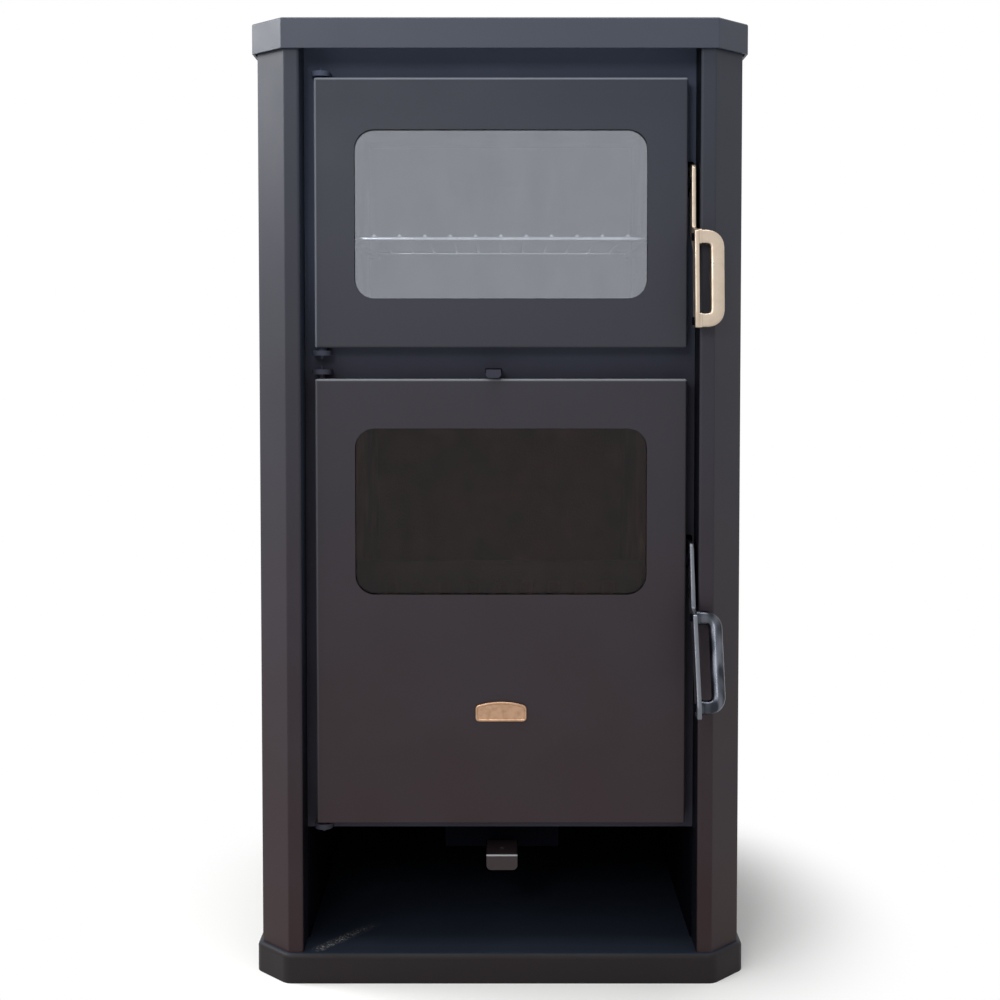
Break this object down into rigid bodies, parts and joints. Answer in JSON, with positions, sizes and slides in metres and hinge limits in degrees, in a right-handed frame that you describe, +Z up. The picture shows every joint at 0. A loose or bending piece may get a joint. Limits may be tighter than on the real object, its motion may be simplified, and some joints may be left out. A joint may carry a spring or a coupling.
{
  "type": "wood cookstove",
  "caption": "Tall free-standing wood cookstove: windowed oven over a windowed firebox, open wood store below, lift-latch doors, pull-strip air controls and a top flue spigot.",
  "frame": {"origin": "middle of the footprint on the floor, with the grips' reach counted in the depth", "axes": "+X to the viewer's right, -Y is the front with the doors, +Z up"},
  "size_m": [0.5, 0.51, 1.018],
  "materials": {
    "case_paint": "matt heat-resistant paint",
    "door_paint": "matt heat-resistant paint",
    "recess_paint": "matt black paint",
    "inner_steel": "sooted steel",
    "rack_chrome": "chromed wire",
    "firebrick": "rough fired clay",
    "grey_iron": "raw casting",
    "zinc_steel": "zinc plated",
    "oven_glass": "heat-reflecting glass",
    "fire_glass": "glass-ceramic",
    "rope": "knitted glass rope",
    "satin_nickel": "satin nickel",
    "handle_chrome": "polished chrome",
    "bronze": "cast bronze"
  },
  "bodies": {
    "case": {"base_tray": "case_paint", "cooktop_cover": "case_paint", "left_side_panel": "case_paint", "right_side_panel": "case_paint", "back_panel": "case_paint", "flue_spigot": "case_paint", "front_plate": "recess_paint", "wood_store_liner": "recess_paint", "firebox_floor": "recess_paint", "primary_air_box": "recess_paint", "damper_guide": "recess_paint", "hinge_lugs": "recess_paint", "hinge_pins": "recess_paint", "hinge_washers": "recess_paint", "left_inner_wall": "inner_steel", "right_inner_wall": "inner_steel", "back_inner_wall": "inner_steel", "oven_box": "inner_steel", "oven_rack_rails": "inner_steel", "baffle_plate": "inner_steel", "ash_pan": "inner_steel", "ash_pan_runners": "inner_steel", "oven_rack": "rack_chrome", "left_firebrick": "firebrick", "right_firebrick": "firebrick", "rear_firebrick": "firebrick", "grate_frame": "grey_iron", "fire_grate": "grey_iron", "log_guard": "grey_iron", "back_screws": "zinc_steel", "flue_screws": "zinc_steel"},
    "oven_door": {"oven_door_frame": "door_paint", "oven_door_glass": "oven_glass", "oven_glass_gasket": "rope", "oven_glass_clips": "zinc_steel", "oven_clip_screws": "zinc_steel", "oven_rope_seal": "rope", "oven_latch_pin": "recess_paint"},
    "fire_door": {"fire_door_frame": "door_paint", "fire_door_glass": "fire_glass", "fire_glass_gasket": "rope", "fire_glass_clips": "zinc_steel", "fire_clip_screws": "zinc_steel", "fire_rope_seal": "rope", "fire_latch_pin": "recess_paint", "fire_heat_shield": "inner_steel", "badge_plate": "bronze"},
    "oven_latch": {"oven_latch_lever": "satin_nickel", "oven_grip": "satin_nickel", "oven_grip_screws": "recess_paint"},
    "fire_latch": {"fire_latch_lever": "handle_chrome", "fire_grip": "handle_chrome", "fire_grip_screws": "recess_paint"},
    "primary_air_slide": {"primary_air_slide": "recess_paint"},
    "damper_slide": {"damper_slide": "recess_paint"}
  },
  "joints": [
    {"name": "oven_door_hinge", "type": "hinge", "parent": "case", "child": "oven_door", "pos_m": [-0.1805, -0.1755, 0.7775], "axis": [0, 0, -1], "range_deg": [0, 100]},
    {"name": "fire_door_hinge", "type": "hinge", "parent": "case", "child": "fire_door", "pos_m": [-0.1805, -0.1755, 0.38425], "axis": [0, 0, -1], "range_deg": [0, 100]},
    {"name": "oven_latch_lift", "type": "hinge", "parent": "oven_door", "child": "oven_latch", "pos_m": [0.19375, -0.178, 0.808], "axis": [-1, 0, 0], "range_deg": [0, 35]},
    {"name": "fire_latch_lift", "type": "hinge", "parent": "fire_door", "child": "fire_latch", "pos_m": [0.19375, -0.178, 0.42725], "axis": [-1, 0, 0], "range_deg": [0, 35]},
    {"name": "primary_air_pull", "type": "slide", "parent": "case", "child": "primary_air_slide", "axis": [0, -1, 0], "range_m": [0, 0.04]},
    {"name": "damper_pull", "type": "slide", "parent": "case", "child": "damper_slide", "axis": [0, -1, 0], "range_m": [0, 0.045]}
  ]
}
